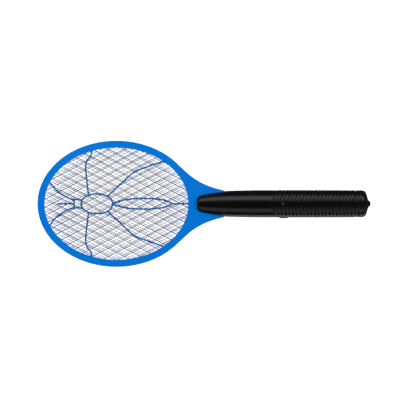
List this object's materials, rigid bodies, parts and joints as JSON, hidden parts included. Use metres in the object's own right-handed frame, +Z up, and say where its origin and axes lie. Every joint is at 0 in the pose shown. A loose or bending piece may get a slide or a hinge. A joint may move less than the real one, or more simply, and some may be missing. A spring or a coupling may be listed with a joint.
{
  "type": "electric fly swatter",
  "caption": "Battery-powered electric fly swatter: oval wire-grid racket head with an insect-shaped guard web, round handle, push button, indicator and quarter-turn end cap.",
  "frame": {"origin": "under the middle of the racket as it lies on its back: the middle of the bounding box in X and Y, at its lowest point", "axes": "+X from the head tip to the end cap, +Y to the left of it, +Z up, out of the front of the head; the push button is on the -Y side"},
  "size_m": [0.45, 0.1706, 0.0378],
  "materials": {
    "blue_frame": "glossy moulded ABS",
    "black_handle": "satin moulded ABS",
    "grid_wire": "drawn galvanised wire",
    "spacer_plastic": "moulded insulating plastic",
    "screw_steel": "zinc-plated",
    "button_red": "moulded ABS",
    "switch_plastic": "moulded nylon",
    "plunger_plastic": "moulded nylon",
    "led_lens": "diffused epoxy lens, unlit",
    "board": "glass-epoxy board with solder mask",
    "ferrite": "sintered ferrite",
    "bobbin": "moulded nylon",
    "winding": "enamelled copper under tape",
    "film_capacitor": "epoxy coated",
    "ceramic_capacitor": "lacquered ceramic",
    "component_black": "moulded epoxy",
    "resistor_body": "lacquered",
    "lead_red": "PVC insulation",
    "lead_white": "PVC insulation",
    "lead_blue": "PVC insulation",
    "lead_black": "PVC insulation",
    "inner_plastic": "moulded ABS",
    "cell_jacket": "printed-film jacket, plain",
    "contact_metal": "nickel-plated spring steel"
  },
  "bodies": {
    "racket": {"front_head_frame": "blue_frame", "rear_head_frame": "blue_frame", "front_spacer_ring": "spacer_plastic", "rear_spacer_ring": "spacer_plastic", "front_grid": "grid_wire", "centre_grid": "grid_wire", "rear_grid": "grid_wire", "throat_screws": "screw_steel", "front_handle_shell": "black_handle", "rear_handle_shell": "black_handle", "handle_screws": "screw_steel", "switch_body": "switch_plastic", "indicator_led": "led_lens", "circuit_board": "board", "transformer_core": "ferrite", "transformer_bobbin": "bobbin", "transformer_winding": "winding", "storage_capacitor": "film_capacitor", "multiplier_capacitors": "ceramic_capacitor", "rectifier_diodes": "component_black", "drive_transistor": "component_black", "resistors": "resistor_body", "hv_lead_front": "lead_red", "hv_lead_centre": "lead_white", "hv_lead_rear": "lead_blue", "battery_lead_red": "lead_red", "battery_lead_black": "lead_black", "battery_cradle": "inner_plastic", "battery_cell_a": "cell_jacket", "battery_cell_b": "cell_jacket", "positive_contact": "contact_metal", "negative_spring": "contact_metal", "end_collar": "inner_plastic"},
    "button": {"power_button": "button_red", "switch_plunger": "plunger_plastic"},
    "contact_carrier": {"contact_carrier": "inner_plastic", "bridge_contact": "contact_metal"},
    "end_cap": {"end_cap": "black_handle", "carrier_screw": "screw_steel", "swivel_post": "inner_plastic"}
  },
  "joints": [
    {"name": "button_press", "type": "slide", "parent": "racket", "child": "button", "axis": [0, 1, 0], "range_m": [0, 0.0015], "stiffness_N_per_m": 600, "springref_m": -0.0015},
    {"name": "cap_slide", "type": "slide", "parent": "racket", "child": "contact_carrier", "axis": [1, 0, 0], "range_m": [0, 0.008]},
    {"name": "cap_twist", "type": "hinge", "parent": "contact_carrier", "child": "end_cap", "pos_m": [0.2086, 0, 0.0189], "axis": [1, 0, 0], "range_deg": [0, 90]}
  ],
  "couplings": [
    {"joint": "cap_slide", "follows": "cap_twist", "m_per_rad": 0.005092}
  ]
}
